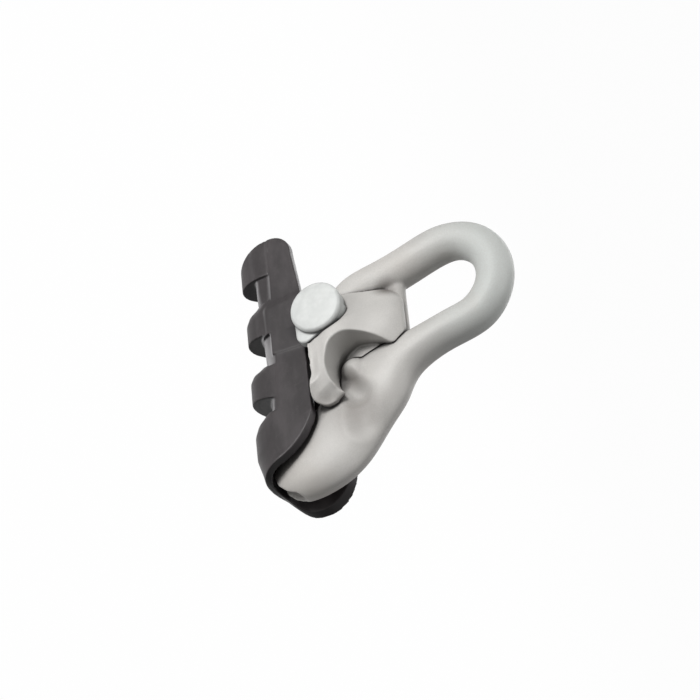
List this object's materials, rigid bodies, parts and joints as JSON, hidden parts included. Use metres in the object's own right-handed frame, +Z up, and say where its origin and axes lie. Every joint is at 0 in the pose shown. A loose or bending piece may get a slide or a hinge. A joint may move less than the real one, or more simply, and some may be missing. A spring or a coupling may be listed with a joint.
{
  "type": "suspension clamp",
  "caption": "Overhead-line suspension clamp: a cast hanger with an oval eye, a hooked keeper on a side bolt, and a ribbed elastomer trough for the conductor.",
  "frame": {"origin": "on the axis of the conductor's seat, in the run of the trough", "axes": "+X along the conductor towards the flared end, +Z up to the eye, -Y towards the bolt head"},
  "size_m": [0.1368, 0.0565, 0.1349],
  "materials": {
    "cast_aluminium": "blasted matte casting",
    "elastomer": "satin black",
    "bolt_metal": "pale galvanised"
  },
  "bodies": {
    "hanger": {"hanger_casting": "cast_aluminium", "conductor_trough": "elastomer", "flat_washer": "bolt_metal", "spring_washer": "bolt_metal"},
    "keeper": {"keeper_casting": "cast_aluminium", "clamp_bolt": "bolt_metal"},
    "nut": {"hex_nut": "bolt_metal"}
  },
  "joints": [
    {"name": "nut_turn", "type": "hinge", "parent": "hanger", "child": "nut", "pos_m": [-0.0128, 0.0183, 0.0286], "axis": [0, 1, 0], "range_deg": [0, 1200]},
    {"name": "keeper_slide", "type": "slide", "parent": "hanger", "child": "keeper", "axis": [0, -1, 0], "range_m": [0, 0.006]}
  ],
  "couplings": [
    {"joint": "keeper_slide", "follows": "nut_turn", "m_per_rad": 0.00027852}
  ]
}
